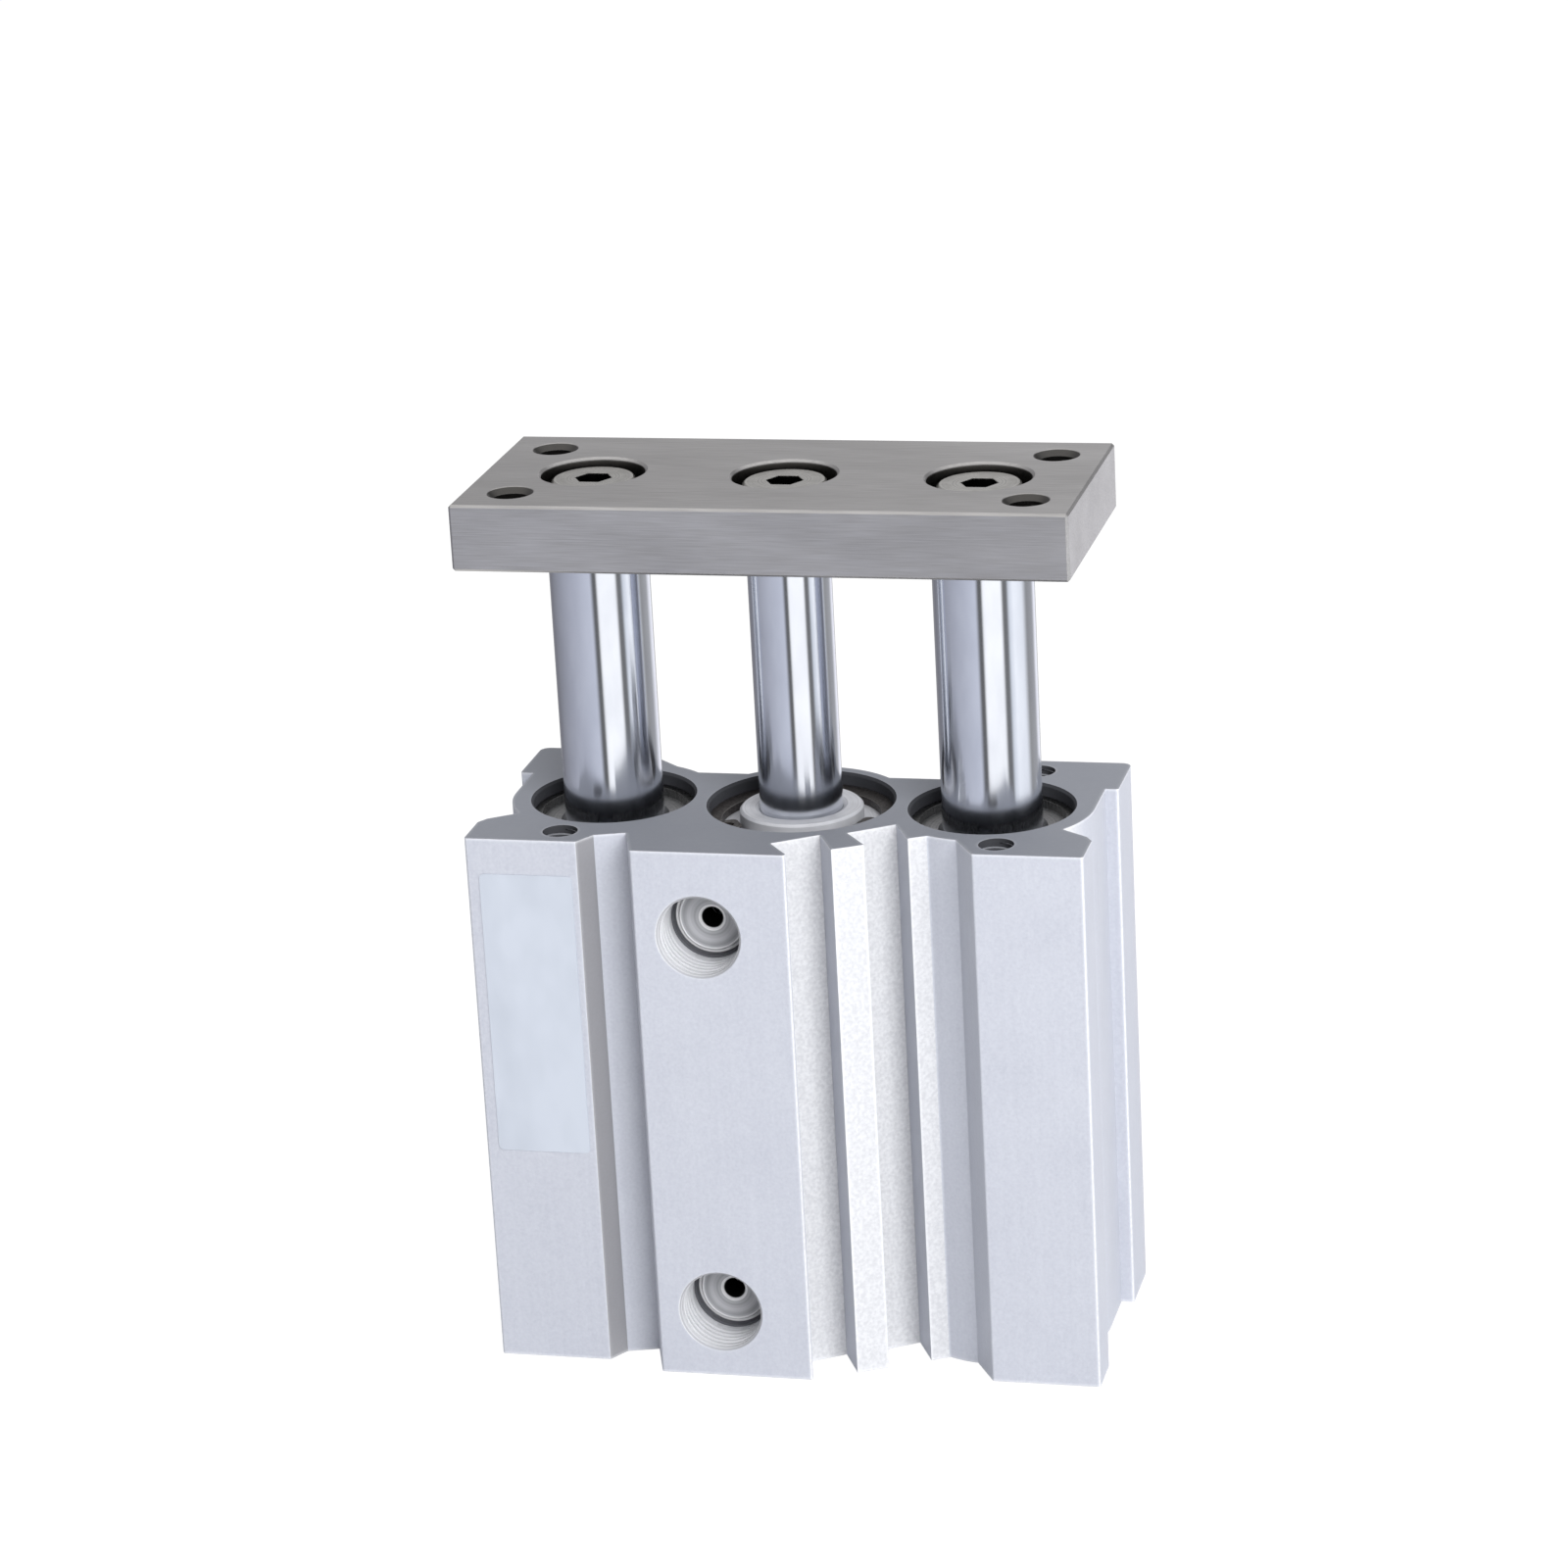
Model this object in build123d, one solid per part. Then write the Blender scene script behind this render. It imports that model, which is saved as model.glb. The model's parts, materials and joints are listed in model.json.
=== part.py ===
from build123d import *
import math
import os

os.makedirs("parts", exist_ok=True)

# Guided pneumatic cylinder: an extruded body with one piston rod between two guide rods,
# which carry a tool plate. Sizes are in millimetres. X runs along the plate, Y runs from the
# ported front to the back, Z runs along the rods. The origin is on the piston rod's axis, on
# the body's bottom face. The rods stand fully out.

# Driving sizes
stroke = 25.0
bore_diameter = 20.0
piston_rod_diameter = 10.0
guide_rod_diameter = 12.0
rod_pitch = 46.5                    # from one guide rod to the other
plate_gap = 7.5                     # from the body to the plate with the rods in

# Stack of pieces along the bore, from the bottom face upwards
ring_depth = 1.6                    # from an end face to its retaining ring
ring_thickness = 1.0
head_cover_length = 4.4
head_bumper_length = 3.0
end_clearance = 0.25                # left between the piston and each bumper
piston_length = 19.0
rod_bumper_length = 2.0
rod_cover_nose = 2.0                # the part of the rod cover that stands inside the bore
rod_cover_flange = 5.9

# Walls and fits
bore_step = 1.1                     # the cover seats are this much wider than the bore, per side
cylinder_wall = 1.6                 # round the cover seats
guide_seat_diameter = 19.5
guide_wall = 2.55                   # round the bushing seats
guide_tail_diameter = 15.0          # guide bore below the bushing
seat_clearance = 0.02               # between a seated piece and its bore, per side
running_clearance = 0.03            # between a rod and what it slides in, per side
piston_clearance = 0.1              # between the piston and the bore, per side
bumper_clearance = 0.4              # between the rod and its bumper, per side
thread_clearance = 0.02             # between a screw and its tapped hole, per side
groove_play = 0.05                  # round a ring in its groove
edge_break = 0.35                   # rounded edges of the extrusion
mouth_chamfer = 0.3                 # at the mouths of bores and holes

# Outline of the body, seen along the rods
ear_reach = 13.9                    # from a guide rod's axis to the body's side
ear_front = 16.8                    # from the rods' plane to the ears' front face
ear_back = 17.0                     # from the rods' plane to the ears' back face
ear_step = 1.6                      # how far an ear stands out past its round boss
front_ear_depth = 5.8               # of the front ears' outer side
front_ear_bevel = 1.3               # of its slanted corner, along Y
front_ear_root = 3.0                # from that side's end to where the ear meets its boss
back_ear_start = 7.3                # from the rods' plane to the back ears' inner face
back_corner_radius = 1.2
right_ear_inset = 0.85              # the right ear's inner front corner, outside the guide axis
right_ear_slant = 3.2               # how far its inner wall leans towards the middle
right_floor_depth = 11.4            # from the rods' plane to the flat beside that ear
left_ear_inset = 0.15
left_ear_slant = 1.5
left_floor_depth = 14.3
left_floor_rise = 1.1               # the left floor runs back by this much towards the pad
web_back = 9.2                      # from the rods' plane to the waist at the back
back_slope_start = 1.35             # outside the guide axis, at the back face
back_slope_end = 7.25               # inside the guide axis, at the waist
pad_left = -16.2
pad_right = 2.8
pad_front = 19.25
pad_left_lean = 2.0                 # the pad's left wall leans outwards to its foot
shoulder_end = 17.9                 # where the slanted shoulder from the pad meets the flat
shoulder_depth = 10.9

# Sensor grooves, two alike, cut into the slanted shoulder
groove_start = (-0.15, -15.3)       # inner left corner of the first groove
groove_floor = (5.15, 3.45)         # from that corner along the groove's floor
groove_wall = (2.95, -3.95)         # from that corner along the groove's left wall
groove_opening = (8.1, -2.4)        # from that corner to the end of the groove's right wall
groove_step = (8.2, 4.4)            # from one groove to the next

# Air ports on the pad
port_x = -8.5
port_diameter = 9.8
port_wall = 6.4                     # from the pad down to the end of the full diameter
port_shoulder = 0.2                 # step there, per side
port_depth = 6.8                    # from the pad down to the land round the passage
port_gap_width = 0.5                # of the deeper ring round that land
port_gap_depth = 0.4
port_gap_slope = 0.2                # how far the land's edge leans
port_passage_diameter = 2.5
head_port_lift = 1.3                # above the head cover's inner face
rod_port_drop = 2.1                 # below the rod cover's flange

# Tapped holes, drawn at their drilled size
tapped_diameter = 4.2
end_hole_inset_x = 3.05             # from the guide axis outwards
end_hole_y = 13.2
end_hole_depth = 10.0
outer_hole_inset_x = 7.75           # of the bottom and back holes, from the guide axis outwards
back_hole_margin = 17.0             # from each end face
back_hole_depth = 8.0
tip_angle = 118.0                   # of a drilled hole's end

# Tool plate and its screws
plate_overhang = 13.25              # past each guide rod's axis
plate_depth = 31.0
plate_thickness = 8.0
plate_edge = 0.3
plate_hole_inset_x = 7.35           # from the guide axis outwards
plate_hole_y = 9.7
plate_hole_chamfer = 0.7
screw_diameter = 6.0
screw_head_diameter = 10.0
screw_head_height = 4.4
screw_edge = 0.3
screw_sink = 0.75                   # from the plate's face down to the heads
screw_length = 14.0                 # below the head
socket_size = 4.0                   # across the flats
socket_depth = 2.4
head_recess_diameter = 12.4
screw_hole_clearance = 0.3          # per side
tapped_reserve = 1.5                # of a rod's tapped hole past its screw

# Rod cover, its seals and the rings
collar_diameter = 14.9
collar_sink = 0.5                   # from the end face down to the collar's top
collar_edge = 0.3
collar_dish = 0.25
nose_diameter = 15.0
seal_diameter = 16.0
seal_height = 3.4
seal_lift = 1.1                     # above the flange's inner face
seal_lip_depth = 1.3
seal_lip_width = 0.7
gasket_thickness = 1.8              # square section
gasket_groove_width = 2.3
ring_groove_depth = 0.65
ring_band = 3.0                     # radial width, opposite the gap
ring_taper = 0.9                    # how far the inner edge is off centre
lug_reach = 3.9                     # from the outer edge to a lug's tip
lug_width = 3.0
lug_hole_diameter = 1.6
rod_ring_direction = 278.0          # where the rod end's ring is open, in degrees from +X
head_ring_direction = 90.0
ring_gap_angle = 68.0               # from the gap's middle to the middle of each lug
snap_ring_band = 1.6
snap_gap_angle = 12.0               # from the gap's middle to each end
bumper_edge = 0.4
head_bumper_diameter = 14.0

# Bushings and rod ends
bushing_length = 30.0
bushing_edge = 0.5
guide_rod_margin = 1.0              # from the bottom face to a guide rod's end with the rods in
rod_edge = 0.6
rod_top_edge = 0.3

# Piston
piston_edge = 0.5
spigot_diameter = 6.0               # of the piston rod inside the piston
rivet_diameter = 7.6                # the spigot's spread end
rivet_height = 1.0
piston_groove_depth = 2.6
piston_seal_start = 13.4            # from the piston's lower face
piston_seal_height = 2.6
magnet_start = 7.2
magnet_height = 3.2
wear_ring_start = 2.4
wear_ring_height = 2.4
wear_ring_depth = 0.9
groove_gap = 0.05                   # beside a ring in its groove on the piston

# Heights that follow
head_cover_bottom = ring_depth + ring_thickness
head_cover_top = head_cover_bottom + head_cover_length
head_bumper_top = head_cover_top + head_bumper_length
rod_bumper_bottom = head_bumper_top + piston_length + stroke + 2 * end_clearance
nose_bottom = rod_bumper_bottom + rod_bumper_length
flange_bottom = nose_bottom + rod_cover_nose
flange_top = flange_bottom + rod_cover_flange
body_height = flange_top + ring_thickness + ring_depth
collar_top = body_height - collar_sink
plate_bottom = body_height + plate_gap + stroke
plate_top = plate_bottom + plate_thickness
piston_top = rod_bumper_bottom - end_clearance
piston_bottom = piston_top - piston_length
bushing_bottom = flange_top - bushing_length
guide_rod_bottom = stroke + guide_rod_margin
head_port_z = head_cover_top + head_port_lift
rod_port_z = flange_bottom - rod_port_drop
screw_seat = plate_top - screw_sink - screw_head_height
gasket_height = flange_bottom + rod_cover_flange / 2
head_gasket_height = (head_cover_bottom + head_cover_top) / 2
seal_bottom = flange_bottom + seal_lift

# Radii and places that follow
guide_x = rod_pitch / 2
bore_radius = bore_diameter / 2
cover_seat_radius = bore_radius + bore_step
cylinder_radius = cover_seat_radius + cylinder_wall
guide_seat_radius = guide_seat_diameter / 2
guide_boss_radius = guide_seat_radius + guide_wall
ring_groove_radius = cover_seat_radius + ring_groove_depth
snap_groove_radius = guide_seat_radius + ring_groove_depth
piston_rod_radius = piston_rod_diameter / 2
guide_rod_radius = guide_rod_diameter / 2
piston_radius = bore_radius - piston_clearance
slider_radius = bore_radius - running_clearance     # of the rings that rub on the bore
tapped_radius = tapped_diameter / 2
cut_margin = 1.0                    # how far a cut runs past the face that it opens


def outline(*corners):
    # A flat closed outline; a corner is (x, y) or (x, y, radius).
    points = [corner[:2] for corner in corners]
    radii = [corner[2] if len(corner) > 2 else 0 for corner in corners]
    return make_face(FilletPolyline(*points, radius=radii, close=True).edges())


def turned(*corners):
    # A solid turned about Z from its (radius, height) outline.
    return revolve(Plane.XZ * outline(*corners), Axis.Z)


def round_bar(radius, bottom, top):
    return Pos(0, 0, bottom) * extrude(Circle(radius), top - bottom)


def mouth(radius, face_z, inwards, chamfer=mouth_chamfer):
    # The chamfer cut at the mouth of a round hole; inwards is 1 for a hole that runs up.
    end_z = face_z + inwards * chamfer
    return turned((0, face_z), (radius + chamfer, face_z), (radius, end_z), (0, end_z))


def blind_hole(radius, depth):
    # A drilled hole that runs up from Z = 0, with its cone end.
    tip = radius / math.tan(math.radians(tip_angle / 2))
    return turned((0, -cut_margin), (radius, -cut_margin), (radius, depth), (0, depth + tip))


def both_sides(x):
    return (-x, x)


def front_block():
    # Pad, slanted shoulder and the flats beside the front ears.
    pad_foot = (pad_left - pad_left_lean, left_floor_rise - left_floor_depth)
    return outline(
        (-guide_x, 0),
        (-guide_x + left_ear_slant - left_ear_inset, -left_floor_depth),
        pad_foot,
        (pad_left, -pad_front),
        (pad_right, -pad_front),
        (shoulder_end, -shoulder_depth),
        (guide_x + right_ear_inset - right_ear_slant, -right_floor_depth),
        (guide_x, 0),
    )


def front_ear(side, inset, slant, floor_depth):
    side_x = side * (guide_x + ear_reach)
    boss_x = side * (guide_x + ear_reach - 2 * ear_step)
    side_end = front_ear_depth - ear_front
    return outline(
        (side * guide_x, 0),
        (side * (guide_x + inset - slant), -floor_depth),
        (side * (guide_x + inset), -ear_front),
        (side_x, -ear_front),
        (side_x, side_end),
        (side_x - side * ear_step / 2, side_end + front_ear_bevel),
        (boss_x, side_end + front_ear_root),
    )


def back_ear(side):
    side_x = side * (guide_x + ear_reach)
    return outline(
        (side * guide_x, 0),
        (side_x - side * ear_step, 0),
        (side_x - side * ear_step, back_ear_start),
        (side_x, back_ear_start),
        (side_x, ear_back, back_corner_radius),
        (side * (guide_x + back_slope_start), ear_back),
        (side * (guide_x - back_slope_end), web_back),
        (side * (guide_x - back_slope_end), 0),
    )


def sensor_groove(index):
    x = groove_start[0] + index * groove_step[0]
    y = groove_start[1] + index * groove_step[1]
    shape = outline(
        (x, y),
        (x + groove_floor[0], y + groove_floor[1]),
        (x + groove_opening[0], y + groove_opening[1]),
        (x + 2 * groove_wall[0], y + 2 * groove_wall[1]),
    )
    return shape


def body_section():
    web = Pos(0, web_back / 2) * Rectangle(rod_pitch, web_back)
    section = front_block() + web + Circle(cylinder_radius)
    section += front_ear(-1, left_ear_inset, left_ear_slant, left_floor_depth)
    section += front_ear(1, right_ear_inset, right_ear_slant, right_floor_depth)
    for side in (-1, 1):
        section += Pos(side * guide_x, 0) * Circle(guide_boss_radius)
        section += back_ear(side)
    for index in (0, 1):
        section -= sensor_groove(index)
    return section


def centre_bore():
    # Cylinder bore, open at both ends, with the cover seats and their ring grooves.
    cut = round_bar(bore_radius, -cut_margin, body_height + cut_margin)
    cut += round_bar(cover_seat_radius, -cut_margin, head_cover_top)
    cut += round_bar(cover_seat_radius, flange_bottom, body_height + cut_margin)
    cut += round_bar(ring_groove_radius, ring_depth, head_cover_bottom)
    cut += round_bar(ring_groove_radius, flange_top, flange_top + ring_thickness)
    cut += mouth(cover_seat_radius, 0, 1) + mouth(cover_seat_radius, body_height, -1)
    return cut


def guide_bore():
    # Bushing seat from the top, a snap ring groove over it and a narrower tail.
    cut = round_bar(guide_tail_diameter / 2, -cut_margin, body_height)
    cut += round_bar(guide_seat_radius, bushing_bottom, body_height + cut_margin)
    cut += round_bar(snap_groove_radius, flange_top, flange_top + ring_thickness)
    cut += mouth(guide_tail_diameter / 2, 0, 1) + mouth(guide_seat_radius, body_height, -1)
    return cut


def port_cut(height):
    # Threaded port whose bottom is a flat land with a deeper ring round it. A small passage
    # runs from the land into the bore.
    radius = port_diameter / 2
    step = radius - port_shoulder
    land = step - port_gap_width
    passage = port_passage_diameter / 2
    floor = port_depth + port_gap_depth
    shape = turned(
        (0, -cut_margin),
        (radius + mouth_chamfer, -cut_margin),
        (radius + mouth_chamfer, 0),
        (radius, mouth_chamfer),
        (radius, port_wall),
        (step, port_wall),
        (step, floor),
        (land, floor),
        (land - port_gap_slope, port_depth),
        (passage + mouth_chamfer, port_depth),
        (passage, port_depth + mouth_chamfer),
        (0, port_depth + mouth_chamfer),
    )
    shape += round_bar(passage, port_depth, pad_front)
    return Pos(port_x, -pad_front, height) * Rot(X=-90) * shape


def end_holes():
    # Tapped holes at the corners of the top and bottom faces.
    hole = blind_hole(tapped_radius, end_hole_depth)
    top_hole = Rot(X=180) * hole
    top_places = [(x, y) for x in both_sides(guide_x + end_hole_inset_x) for y in both_sides(end_hole_y)]
    places = [(x, y) for x in both_sides(guide_x + outer_hole_inset_x) for y in both_sides(end_hole_y)]
    holes = [Pos(x, y, body_height) * top_hole for x, y in top_places]
    return holes + [Pos(x, y, 0) * hole for x, y in places]


def back_holes():
    hole = Rot(X=90) * blind_hole(tapped_radius, back_hole_depth)
    heights = (back_hole_margin, body_height - back_hole_margin)
    places = [(x, z) for x in both_sides(guide_x + outer_hole_inset_x) for z in heights]
    return [Pos(x, ear_back, z) * hole for x, z in places]


def sharp_corners():
    # The outward corners of the extrusion, whose edges are rounded.
    corners = [(pad_left, -pad_front), (pad_right, -pad_front), (shoulder_end, -shoulder_depth)]
    for side, inset in ((-1, left_ear_inset), (1, right_ear_inset)):
        side_x = side * (guide_x + ear_reach)
        corners.append((side * (guide_x + inset), -ear_front))
        corners.append((side_x, -ear_front))
        corners.append((side_x, front_ear_depth - ear_front))
        corners.append((side_x, back_ear_start))
        corners.append((side * (guide_x + back_slope_start), ear_back))
    return corners


def cylinder_body():
    section = body_section()
    for corner in sharp_corners():
        nearest = section.vertices().sort_by_distance(corner)[0]
        section = fillet(nearest, edge_break)
    body = extrude(section, body_height)
    body -= centre_bore()
    for x in both_sides(guide_x):
        body -= Pos(x, 0, 0) * guide_bore()
    for height in (head_port_z, rod_port_z):
        body -= port_cut(height)
    for hole in end_holes() + back_holes():
        body -= hole
    return body


def ring_about(height, outer, inner, thickness):
    # A plain ring, centred on its height.
    ring = extrude(Circle(outer) - Circle(inner), thickness)
    return Pos(0, 0, height - thickness / 2) * ring


def gasket_ring(height):
    # It lies against the wall of its seat.
    outer = cover_seat_radius - seat_clearance
    return ring_about(height, outer, outer - gasket_thickness, gasket_thickness)


def gasket_groove(height):
    inner = cover_seat_radius - seat_clearance - gasket_thickness - groove_play
    return ring_about(height, cover_seat_radius + cut_margin, inner, gasket_groove_width)


def rod_cover():
    flange = cover_seat_radius - seat_clearance
    collar = collar_diameter / 2
    slot = piston_rod_radius + running_clearance
    cover = turned(
        (slot, nose_bottom),
        (nose_diameter / 2, nose_bottom),
        (nose_diameter / 2, flange_bottom),
        (flange, flange_bottom),
        (flange, flange_top),
        (collar, flange_top),
        (collar, collar_top - collar_edge),
        (collar - collar_edge, collar_top),
        (slot + 2 * collar_dish, collar_top),
        (slot, collar_top - collar_dish),
    )
    cover -= round_bar(seal_diameter / 2, seal_bottom, seal_bottom + seal_height)
    return cover - gasket_groove(gasket_height)


def rod_seal():
    # U-shaped lip seal, open towards the pressure side.
    outer = seal_diameter / 2 - seat_clearance
    inner = piston_rod_radius + running_clearance
    top = seal_bottom + seal_height
    return turned(
        (inner, seal_bottom),
        (inner + seal_lip_width, seal_bottom),
        ((inner + outer) / 2, seal_bottom + seal_lip_depth),
        (outer - seal_lip_width, seal_bottom),
        (outer, seal_bottom),
        (outer, top),
        (inner, top),
    )


def rod_side_bumper():
    inner = piston_rod_radius + bumper_clearance
    outer = nose_diameter / 2
    return turned(
        (inner, rod_bumper_bottom),
        (outer, rod_bumper_bottom),
        (outer, nose_bottom),
        (inner, nose_bottom),
    )


def head_cover():
    cover = round_bar(cover_seat_radius - seat_clearance, head_cover_bottom, head_cover_top)
    return cover - gasket_groove(head_gasket_height)


def head_side_bumper():
    outer = head_bumper_diameter / 2
    return turned(
        (0, head_cover_top),
        (outer, head_cover_top),
        (outer, head_bumper_top - bumper_edge),
        (outer - bumper_edge, head_bumper_top),
        (0, head_bumper_top),
    )


def cover_ring(bottom, direction):
    # Internal retaining ring: widest opposite its gap, with a drilled lug at each end.
    outer = ring_groove_radius - groove_play
    inner = outer - ring_band + ring_taper
    towards_gap = Rot(Z=direction)
    ring = Circle(outer) - towards_gap * Pos(ring_taper, 0) * Circle(inner)
    reach = 2 * outer
    half_gap = reach * math.tan(math.radians(ring_gap_angle))
    ring -= towards_gap * Polygon((0, 0), (reach, -half_gap), (reach, half_gap), align=None)
    for side in (-1, 1):
        turn = Rot(Z=direction + side * ring_gap_angle)
        middle = outer - lug_reach / 2
        ring += turn * Pos(middle, 0) * RectangleRounded(lug_reach, lug_width, lug_width / 4)
        ring -= turn * Pos(outer - lug_reach + lug_width / 2, 0) * Circle(lug_hole_diameter / 2)
    ring &= Circle(outer)
    return Pos(0, 0, bottom) * extrude(ring, ring_thickness)


def guide_bushing(x):
    outer = guide_seat_radius - seat_clearance
    inner = guide_rod_radius + running_clearance
    return Pos(x, 0, 0) * turned(
        (inner, bushing_bottom),
        (outer, bushing_bottom),
        (outer, flange_top),
        (inner + bushing_edge, flange_top),
        (inner, flange_top - bushing_edge),
    )


def bushing_ring(x):
    # Plain snap ring over the bushing, open towards the front.
    outer = snap_groove_radius - groove_play
    reach = 2 * outer
    half_gap = reach * math.tan(math.radians(snap_gap_angle))
    ring = Circle(outer) - Circle(outer - snap_ring_band)
    ring -= Polygon((0, 0), (-half_gap, -reach), (half_gap, -reach), align=None)
    return Pos(x, 0, flange_top) * extrude(ring, ring_thickness)


def rod_blank(radius, bottom):
    # A ground rod up to the plate, tapped at the top for its screw.
    rod = turned(
        (0, bottom),
        (radius - rod_edge, bottom),
        (radius, bottom + rod_edge),
        (radius, plate_bottom - rod_top_edge),
        (radius - rod_top_edge, plate_bottom),
        (0, plate_bottom),
    )
    depth = plate_bottom - (screw_seat - screw_length) + tapped_reserve
    hole = blind_hole(screw_diameter / 2 + thread_clearance, depth)
    return rod - Pos(0, 0, plate_bottom) * Rot(X=180) * hole


def guide_rod(x):
    return Pos(x, 0, 0) * rod_blank(guide_rod_radius, guide_rod_bottom)


def piston_rod():
    rod = rod_blank(piston_rod_radius, piston_top)
    spigot = round_bar(spigot_diameter / 2, piston_bottom + rivet_height, piston_top + rod_edge)
    rivet = round_bar(rivet_diameter / 2, piston_bottom, piston_bottom + rivet_height)
    return rod + spigot + rivet


def piston_groove(start, height, depth):
    # A groove round the piston; start is counted from the piston's lower face.
    low = piston_bottom + start - groove_gap
    high = piston_bottom + start + height + groove_gap
    ring = Circle(piston_radius + cut_margin) - Circle(piston_radius - depth)
    return Pos(0, 0, low) * extrude(ring, high - low)


def piston():
    body = turned(
        (0, piston_bottom),
        (piston_radius - piston_edge, piston_bottom),
        (piston_radius, piston_bottom + piston_edge),
        (piston_radius, piston_top - piston_edge),
        (piston_radius - piston_edge, piston_top),
        (0, piston_top),
    )
    low = piston_bottom - cut_margin
    body -= round_bar(spigot_diameter / 2 + seat_clearance, low, piston_top + cut_margin)
    body -= round_bar(rivet_diameter / 2 + seat_clearance, low, piston_bottom + rivet_height)
    body -= piston_groove(piston_seal_start, piston_seal_height, piston_groove_depth)
    body -= piston_groove(magnet_start, magnet_height, piston_groove_depth)
    body -= piston_groove(wear_ring_start, wear_ring_height, wear_ring_depth)
    return body


def piston_ring(start, height, depth, outer):
    # A ring that sits in a groove of the piston.
    inner = piston_radius - depth + seat_clearance
    low = piston_bottom + start
    return Pos(0, 0, low) * extrude(Circle(outer) - Circle(inner), height)


def screw():
    # Low-head socket screw, drawn without its thread, head downwards from its seat at Z = 0.
    head_radius = screw_head_diameter / 2
    shank = screw_diameter / 2
    body = turned(
        (0, -screw_length),
        (shank, -screw_length),
        (shank, 0),
        (head_radius, 0),
        (head_radius, screw_head_height - screw_edge),
        (head_radius - screw_edge, screw_head_height),
        (0, screw_head_height),
    )
    # Hexagonal socket over the cone end of the hole that was drilled for it.
    tip_radius = socket_size / 2
    tip = tip_radius / math.tan(math.radians(tip_angle / 2))
    hexagon = RegularPolygon(tip_radius, 6, major_radius=False)
    socket = extrude(hexagon, socket_depth + cut_margin) + turned((0, 0), (tip_radius, 0), (0, -tip))
    return body - Pos(0, 0, screw_head_height - socket_depth) * socket


def tool_plate():
    width = rod_pitch + 2 * plate_overhang
    plate = Pos(0, 0, plate_bottom) * extrude(Rectangle(width, plate_depth), plate_thickness)
    plate = chamfer(plate.edges(), plate_edge)
    low = plate_bottom - cut_margin
    high = plate_top + cut_margin
    recess_radius = head_recess_diameter / 2
    recess = round_bar(screw_diameter / 2 + screw_hole_clearance, low, high)
    recess += round_bar(recess_radius, screw_seat, high)
    recess += mouth(recess_radius, plate_top, -1)
    for x in (-guide_x, 0, guide_x):
        plate -= Pos(x, 0, 0) * recess
    hole = round_bar(tapped_radius, low, high)
    hole += mouth(tapped_radius, plate_top, -1, plate_hole_chamfer)
    for x in both_sides(guide_x + plate_hole_inset_x):
        for y in both_sides(plate_hole_y):
            plate -= Pos(x, y, 0) * hole
    return plate


def plate_screws(places):
    return Compound([Pos(x, 0, screw_seat) * screw() for x in places])


def piston_seal():
    return piston_ring(piston_seal_start, piston_seal_height, piston_groove_depth, slider_radius)


def piston_magnet():
    return piston_ring(magnet_start, magnet_height, piston_groove_depth, piston_radius - groove_gap)


def piston_wear_ring():
    return piston_ring(wear_ring_start, wear_ring_height, wear_ring_depth, slider_radius)


nodes = {
    "cylinder_body": cylinder_body(),
    "rod_cover": rod_cover(),
    "rod_cover_ring": cover_ring(flange_top, rod_ring_direction),
    "rod_cover_gasket": gasket_ring(gasket_height),
    "rod_seal": rod_seal(),
    "rod_side_bumper": rod_side_bumper(),
    "head_cover": head_cover(),
    "head_cover_ring": cover_ring(ring_depth, head_ring_direction),
    "head_cover_gasket": gasket_ring(head_gasket_height),
    "head_side_bumper": head_side_bumper(),
    "tool_plate": tool_plate(),
    "piston_rod": piston_rod(),
    "piston": piston(),
    "piston_seal": piston_seal(),
    "piston_magnet": piston_magnet(),
    "piston_wear_ring": piston_wear_ring(),
    "centre_screw": plate_screws([0]),
    "guide_screws": plate_screws(both_sides(guide_x)),
}
for name, x in (("left", -guide_x), ("right", guide_x)):
    nodes["guide_bushing_" + name] = guide_bushing(x)
    nodes["bushing_ring_" + name] = bushing_ring(x)
    nodes["guide_rod_" + name] = guide_rod(x)

for name, shape in nodes.items():
    export_step(shape, os.path.join("parts", name + ".step"))
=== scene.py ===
import bpy
import json
import math
from mathutils import Matrix, Vector


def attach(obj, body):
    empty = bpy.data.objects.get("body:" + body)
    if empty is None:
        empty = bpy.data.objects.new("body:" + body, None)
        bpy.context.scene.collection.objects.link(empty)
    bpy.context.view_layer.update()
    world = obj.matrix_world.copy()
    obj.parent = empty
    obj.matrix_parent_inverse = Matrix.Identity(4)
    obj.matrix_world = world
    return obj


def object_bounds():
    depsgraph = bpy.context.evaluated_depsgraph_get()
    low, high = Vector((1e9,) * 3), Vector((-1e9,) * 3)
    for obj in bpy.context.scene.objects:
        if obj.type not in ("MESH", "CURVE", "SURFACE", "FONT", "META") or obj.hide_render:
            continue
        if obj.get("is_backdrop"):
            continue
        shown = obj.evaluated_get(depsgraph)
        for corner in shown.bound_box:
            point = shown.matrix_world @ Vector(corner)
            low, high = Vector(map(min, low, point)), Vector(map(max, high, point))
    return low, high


# Guided pneumatic cylinder: the finishes of its metal, rubber and plastic pieces, the threads in
# its holes and the blank label, in a small studio. Blender's lengths are metres; the sizes in
# the dictionaries are millimetres.

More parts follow.
